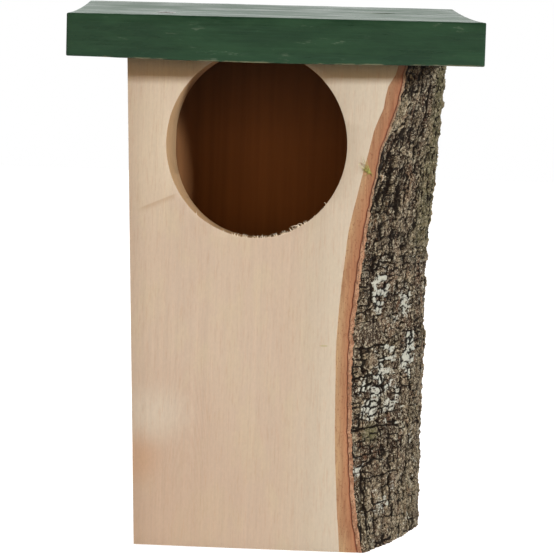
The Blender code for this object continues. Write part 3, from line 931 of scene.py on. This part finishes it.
def bark_field(y, z):
    """Relief in mm at each place, how dark it is in fissures and low places (partly painted shade), and how
    lichened, green and pale it is.
    """
    middle = ease((z - 30.0) / 10.0) * ease((142.0 - z + 4.0 * rough(y / 20.0, z / 9.0, 2)) / 18.0)
    upper = ease((z - 124.0) / 18.0)
    lower = np.clip(1.0 - middle - upper, 0.0, 1.0)
    high_u, dark_u, pick_u, _ = split_layer(y, z, 4.6, 6.4, 110, 4.2, 0.95)
    high_f, dark_f, pick_f, _ = split_layer(y, z, 2.4, 2.7, 150, 2.2, 0.55)
    high_m, dark_m, pick_m, ring_m = split_layer(y, z, 6.0, 2.9, 210, 1.9, 0.72)
    high_l, dark_l, pick_l, _ = split_layer(y, z, 9.5, 9.0, 310, 2.4, 0.8)
    height = upper * (1.15 * high_u + 0.5 * high_f) + middle * (high_m + 0.3 * high_f)
    height = height + lower * (0.9 * high_l + 0.4 * high_f)
    dark = upper * np.maximum(dark_u, 0.6 * dark_f) + middle * np.maximum(dark_m, 0.35 * dark_f)
    dark = dark + lower * np.maximum(dark_l, 0.5 * dark_f)
    pick = upper * (0.55 * pick_u + 0.45 * pick_f) + middle * pick_m + lower * (0.4 * pick_l + 0.6 * pick_f)
    broad, _, pick_b, _ = split_layer(y, z, 14.0, 34.0, 410, 5.0, 1.3)
    height = height + 0.9 * broad
    # Painted shade in the low places of the broad relief.
    dark = np.maximum(dark, ease((-0.45 - broad) / 0.5))
    for fissure in FISSURES:
        gap = fissure_gap(y, z, *fissure)
        height = height - 1.5 * gap
        dark = np.maximum(dark, gap)
    for crack in LEVEL_CRACKS:
        gap = level_gap(y, z, *crack)
        height = height - 0.8 * gap
        dark = np.maximum(dark, 0.95 * gap)
    flake = rough(y / 1.5, z / 2.0, 71, 3)
    height = height + 0.45 * flake + 0.9 * rough(y / 14.0, z / 20.0, 75, 2)
    height = height + 1.1 * ease((y - 45.0) / 25.0) * np.maximum(rough(y / 6.0, z / 3.4, 78, 3), -0.2)
    panel = 1.0 - ease((np.abs(y - PANEL_Y) - PANEL_HALF_Y) / 3.0)
    panel = panel * (1.0 - ease((np.abs(z - PANEL_Z) - PANEL_HALF_Z) / 1.5))
    height = height * (1.0 - 0.7 * panel) - 0.5 * panel
    dark = dark * (1.0 - 0.75 * panel)
    lichen = lichen_cover(y, z, middle, lower, pick_m, ring_m, panel)
    shaded = ease((42.0 - z) / 12.0) * ease((12.0 - y) / 9.0)
    thin = (1.0 - ease((y - 7.0) / 9.0)) * (1.0 - ease((np.abs(z - 187.0) - 5.0) / 6.0))
    dark = dark * (1.0 - 0.5 * thin)
    tone = 0.5 + 0.9 * (pick - 0.5) + 0.35 * (pick_b - 0.5) + 0.5 * flake + 0.45 * thin
    tone = tone - 0.3 * shaded - 0.12 * upper - 0.14 * middle - 0.45 * panel
    return height, np.clip(dark, 0.0, 1.0), lichen, algae_cover(y, z), tone


def bark_depths():
    """Depths of the bark's columns: close together at the front face, and wider apart towards the back."""
    depths = [0.0, 0.22, 0.5, 0.85, 1.25]
    while depths[-1] < 88.0:
        depths.append(depths[-1] + (0.5 if depths[-1] < 12.0 else 0.72))
    while depths[-1] < LOG_DEPTH - 1.4:
        depths.append(depths[-1] + 1.0)
    return np.array(depths + [LOG_DEPTH])


def make_shell():
    """The outer bark: a fine grid outside, a coarse one inside, and cut edges between them."""
    depths = bark_depths()
    columns, rows = len(depths), 455
    y, w = np.meshgrid(depths, np.linspace(0.0, 1.0, rows), indexing="ij")
    z = w * log_top(y)
    height, fissure, lichen, algae, tone = bark_field(y, z)
    hold = 0.3 + 0.7 * ease(y / 4.0)
    inner = bast_outside(y, z)
    x = np.maximum(bark_base(y, z) + height * hold, inner + 0.7)
    x[0, :] -= 0.25
    middle = [int(np.searchsorted(depths, v)) for v in (4, 10, 18, 28, 40, 55, 72, 90, 110, 130)]
    coarse = [0] + middle + [columns - 1]
    outside = np.stack([x.ravel(), y.ravel(), z.ravel()], 1)
    under = np.stack([inner[coarse, :].ravel() + 0.02, y[coarse, :].ravel(), z[coarse, :].ravel()], 1)
    points = [tuple(place(*p)) for p in np.concatenate([outside, under])]
    first_under = columns * rows
    faces, slots = [], []
    skin, sawn = 0, 1

    def quad(a, b, c, d, slot):
        faces.append((a, b, c, d))
        slots.append(slot)

    for i in range(columns - 1):
        for j in range(rows - 1):
            a = i * rows + j
            quad(a, a + rows, a + rows + 1, a + 1, skin)
    for i in range(len(coarse) - 1):
        for j in range(rows - 1):
            a = first_under + i * rows + j
            quad(a, a + 1, a + rows + 1, a + rows, skin)
    back, back_under = (columns - 1) * rows, first_under + (len(coarse) - 1) * rows
    for j in range(rows - 1):
        quad(j, j + 1, first_under + j + 1, first_under + j, sawn)
        quad(back + j, back_under + j, back_under + j + 1, back + j + 1, sawn)
    base = [i * rows for i in range(columns)] + [first_under + i * rows for i in reversed(range(len(coarse)))]
    faces += [tuple(reversed(base)), tuple(v + rows - 1 for v in base)]
    slots += [sawn, sawn]
    mesh = mesh_from("bark_shell", points, faces)
    shell = link("bark_shell", mesh, [bark_look, cut_look])
    mesh.polygons.foreach_set("material_index", slots)
    pad = np.zeros(len(coarse) * rows)
    for name, values in (("fissure", fissure), ("lichen", lichen), ("algae", algae), ("tone", tone)):
        set_numbers(mesh, name, np.concatenate([values.ravel(), pad]))
    shape = bmesh.new()
    shape.from_mesh(mesh)
    bmesh.ops.recalc_face_normals(shape, faces=shape.faces)
    shape.to_mesh(mesh)
    shape.free()
    smooth_within(mesh, 62.0)
    return shell


# ---- roof board and screw


def turned_mesh(name, profile, sides):
    """A closed round mesh from (radius, height) points in mm, top to bottom."""
    points = [(0.0, 0.0, profile[0][1])]
    for r, h in profile[1:-1]:
        for k in range(sides):
            a = math.tau * k / sides
            points.append((r * math.cos(a), r * math.sin(a), h))
    points.append((0.0, 0.0, profile[-1][1]))
    rings = len(profile) - 2
    faces = []
    for k in range(sides):
        n = (k + 1) % sides
        faces.append((0, 1 + k, 1 + n))
        for i in range(rings - 1):
            a = 1 + i * sides
            faces.append((a + k, a + sides + k, a + sides + n, a + n))
        last = 1 + (rings - 1) * sides
        faces.append((last + k, len(points) - 1, last + n))
    return mesh_from(name, [Vector(p) * MM for p in points], faces)


def plank():
    """The board: dished across its depth, its left end a little out of square, its front edge sagging."""
    shape = cut_block(even(58), even(40), even(4))
    worn = []
    for vert in shape.verts:
        u, v, w = vert.co
        x = (u - 0.5) * ROOF_WIDTH + 1.6 * (1.0 - u) * v
        y = v * ROOF_DEPTH
        thick = ROOF_THICKNESS - 0.5 * (1.0 - u) - ROOF_DISH * 4.0 * v * (1.0 - v)
        sag = 0.9 * math.sin(math.pi * min(u * 1.05, 1.0)) ** 1.4 - 0.2
        low = -sag * float(ease(np.array(1.0 - y / 26.0)))
        z = low + (thick - low) * w
        if w in (0.0, 1.0) and (v in (0.0, 1.0) or u in (0.0, 1.0)):
            wobble = 0.12 * (drift_at(x / 5.0, y / 5.0 + w * 9.0, 15) + 1.0)
            z += wobble * (0.5 - w)
        vert.co = roof_place(x, y, z)
        worn.append(1.0 if v == 0.0 and w == 0.0 else 0.0)
    board = solid("roof_plank", shape)
    set_numbers(board.data, "edge", worn)
    return board


def make_roof():
    """The board with the screw's countersunk hole and the knot's shallow pit."""
    roof = plank()
    ease_edges(roof, 0.55, 3)
    head = ROOF_THICKNESS - SCREW_HEAD_SINK
    profile = [(0.0, head + 6.0), (4.9, head + 6.0), (4.32, head - 0.3), (PILOT_RADIUS, head - 2.45),
               (PILOT_RADIUS, -6.0), (0.0, -6.0)]
    seat = link("t_seat", turned_mesh("t_seat", profile, 48), [])
    seat.data.transform(Matrix.Translation(PIVOT_LOW) @ SQUARE_TO_ROOF)
    profile = [(0.0, 2.0), (3.4, 2.0), (2.2, -0.2), (1.2, -0.9), (0.0, -1.0)]
    pit = link("t_pit", turned_mesh("t_pit", profile, 20), [])
    knot = Matrix.Translation(roof_place(KNOT_X, KNOT_Y, ROOF_THICKNESS - KNOT_SINK))
    pit.data.transform(knot @ SQUARE_TO_ROOF @ Matrix.Diagonal((1.9, 1.0, 1.0, 1.0)))
    for cutter in (seat, pit):
        cut_with(roof, cutter)
    applied(roof)
    drop([seat, pit])
    roof.data.materials.append(roof_look)
    smooth_within(roof.data, 40.0)
    return roof


def make_screw():
    """A countersunk screw with a cross in its head and a thread on its lower part."""
    shank = SCREW_SHANK_RADIUS
    core = shank * 0.68
    plain = 0.42 * SCREW_LENGTH
    pitch = 1.8
    profile = [(0.0, 0.0), (3.5, 0.0), (3.9, -0.08), (SCREW_HEAD_RADIUS, -0.25), (shank, -2.35)]
    profile.append((shank, -plain))
    h = -plain - 0.3 * pitch
    while h > -SCREW_LENGTH + 8.0:
        profile += [(core, h), (core, h - 0.5), (shank, h - 0.85), (shank, h - 0.95)]
        h -= pitch
    profile += [(core, h), (0.35, -SCREW_LENGTH + 0.6), (0.0, -SCREW_LENGTH)]
    screw = link("roof_screw_fine", turned_mesh("roof_screw_fine", profile, 40), [])
    cutters = []
    for turn in (20.0, 110.0):
        shape = bmesh.new()
        bmesh.ops.create_cube(shape, size=1.0)
        for vert in shape.verts:
            taper = 1.0 if vert.co.z > 0 else 0.55
            vert.co = Vector((vert.co.x * 4.6 * taper, vert.co.y * 0.95, vert.co.z * 3.6)) * MM
        bmesh.ops.rotate(shape, verts=shape.verts, matrix=Matrix.Rotation(math.radians(turn), 3, "Z"))
        cutters.append(solid("t_cross", shape))
    for cutter in cutters:
        cut_with(screw, cutter)
    applied(screw)
    drop(cutters)
    screw.data.materials.append(steel_look)
    smooth_within(screw.data, 30.0)
    head = PIVOT_LOW + UP * (ROOF_THICKNESS - SCREW_HEAD_SINK) * MM
    screw.data.transform(Matrix.Translation(head) @ SQUARE_TO_ROOF)
    return screw


# ---- fibres and moss


def strand(points, faces, line, radius):
    """Adds one tapered, closed four-sided strand along a line of world places."""
    first = len(points)
    for i, spot in enumerate(line):
        ahead = (line[min(i + 1, len(line) - 1)] - line[max(i - 1, 0)]).normalized()
        side = ahead.cross(Vector((0.3, 1.0, 0.2))).normalized()
        other = ahead.cross(side).normalized()
        r = radius * (1.0 - 0.8 * i / (len(line) - 1))
        for k in range(4):
            a = math.tau * k / 4.0
            points.append(spot + (side * math.cos(a) + other * math.sin(a)) * r)
    faces.append((first + 3, first + 2, first + 1, first))
    for i in range(len(line) - 1):
        a = first + i * 4
        for k in range(4):
            n = (k + 1) % 4
            faces.append((a + k, a + n, a + 4 + n, a + 4 + k))
    end = first + (len(line) - 1) * 4
    faces.append((end, end + 1, end + 2, end + 3))


def bent_line(start, lean, bend, long, steps):
    """World places along a strand that is long mm, starting one way and bending another."""
    return [start + (lean * long * t + bend * long * t * t) * MM for t in steps]


def make_fibres():
    """Torn wood fibres along the lower rim of the entrance, and two longer splinters."""
    pick = np.random.default_rng(7)
    points, faces = [], []
    for _ in range(62):
        angle = math.radians(pick.uniform(-104.0, -52.0))
        if pick.random() < 0.3:
            angle = math.radians(pick.uniform(-135.0, -35.0))
        depth = abs(pick.normal(0.0, 0.15)) + 0.02
        x = ENTRANCE_X + ENTRANCE_HALF_WIDTH * math.cos(angle)
        z = ENTRANCE_Z + ENTRANCE_HALF_HEIGHT * math.sin(angle)
        long = pick.uniform(0.7, 1.7)
        lean = Vector((pick.normal(0.0, 0.45), pick.normal(0.0, 0.2), 1.0)).normalized()
        bend = Vector((pick.normal(0.0, 0.4), pick.normal(0.0, 0.3), 0.0))
        start = place(x, depth, z - 0.1)
        line = bent_line(start, lean, bend, long, (0.0, 0.35, 0.7, 1.0))
        strand(points, faces, line, pick.uniform(0.17, 0.26) * MM)
    line = [place(9.4, 0.4, 138.8), place(8.2, 0.1, 139.3), place(6.8, -0.05, 139.3), place(5.2, 0.0, 138.9)]
    strand(points, faces, line, 0.36 * MM)
    line = [place(10.6, 0.4, 139.4), place(9.4, 0.1, 140.2), place(8.2, 0.0, 140.3)]
    strand(points, faces, line, 0.28 * MM)
    look = make_plain_fibre("torn_fibre", (240, 226, 202), (226, 206, 176))
    return link("rim_fibres", mesh_from("rim_fibres", points, faces), [look])


def make_moss():
    """A small tuft of yellow-green moss on the edge of the inner bark."""
    pick = np.random.default_rng(21)
    points, faces = [], []
    root = place(37.9, 0.0, 163.2)
    for k in range(34):
        up_left = k % 3 != 0
        lean = Vector((-0.75, -0.25, 0.8)) if up_left else Vector((0.7, -0.2, -0.45))
        lean = (lean + Vector(pick.normal(0.0, 0.33, 3))).normalized()
        long = pick.uniform(2.0, 6.2) if up_left else pick.uniform(1.0, 3.2)
        bend = Vector((pick.normal(-0.1, 0.3), -abs(pick.normal(0.0, 0.15)), pick.normal(0.1, 0.3)))
        start = root + Vector((pick.normal(0.0, 0.5), 0.12, pick.normal(0.0, 0.5))) * MM
        line = bent_line(start, lean, bend, long, (0.0, 0.25, 0.5, 0.75, 1.0))
        strand(points, faces, line, pick.uniform(0.09, 0.17) * MM)
    look = make_plain_fibre("moss", (186, 182, 104), (146, 146, 82))
    return link("moss_tuft", mesh_from("moss_tuft", points, faces), [look])


def make_chip():
    """A small pale flake of bark that has curled away from the trunk's edge."""
    points, faces = [], []
    turns = [math.radians(a) for a in range(-70, 111, 20)]
    for k, a in enumerate(turns):
        half = 0.75 * math.sin(math.pi * (k + 1.0) / (len(turns) + 1.0)) ** 0.6
        for radius in (1.5, 1.15):
            for side in (-half, half):
                x = 42.6 + side * 0.5 + radius * 0.7 * math.cos(a)
                y = -0.15 - 0.5 * side - 0.3 * math.cos(a)
                points.append(place(x, y, 160.6 + radius * math.sin(a) + 0.3 * side))
    for k in range(len(turns) - 1):
        a, b = 4 * k, 4 * k + 4
        faces += [(a, a + 1, b + 1, b), (a + 3, a + 2, b + 2, b + 3)]
        faces += [(a + 2, a, b, b + 2), (a + 1, a + 3, b + 3, b + 1)]
    last = len(points) - 4
    faces += [(0, 2, 3, 1), (last, last + 1, last + 3, last + 2)]
    look = make_plain_fibre("pale_flake", (226, 208, 184), (196, 170, 140))
    chip = link("bark_chip", mesh_from("bark_chip", points, faces), [look])
    chip.data.shade_smooth()
    return chip


# ---- pieces, each riding on its body

log = make_log()
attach(log, "log")
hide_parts("log_wood")

band = make_band()
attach(band, "log")
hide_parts("inner_bark")

shell = make_shell()
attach(shell, "log")
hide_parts("outer_bark")

roof = make_roof()
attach(roof, "roof")
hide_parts("roof_board")

screw = make_screw()
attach(screw, "log")
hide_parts("roof_screw")

fibres = make_fibres()
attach(fibres, "log")

moss = make_moss()
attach(moss, "log")

chip = make_chip()
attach(chip, "log")

for node in ("hanger_plate", "hanger_screw_low", "hanger_screw_high"):
    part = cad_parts[node]
    for number in range(len(part.material_slots)):
        part.material_slots[number].material = steel_look

# ---- floor


def make_floor():
    """A large pale floor just under the object."""
    look = Look("studio_floor", 0.9)
    vary = look.noise((8, 8, 8), 2.0, 0.5)
    look.colour = look.mix(vary, (0.93, 0.93, 0.93, 1), (0.9, 0.9, 0.9, 1))
    look.constant("Emission Color", (1, 1, 1, 1))
    look.constant("Emission Strength", 0.8)
    corners = [(-9, -9, -0.0002), (9, -9, -0.0002), (9, 9, -0.0002), (-9, 9, -0.0002)]
    floor = link("floor", mesh_from("floor", corners, [(0, 1, 2, 3)]), [look.finish()])
    floor.visible_diffuse = False
    return floor


make_floor()
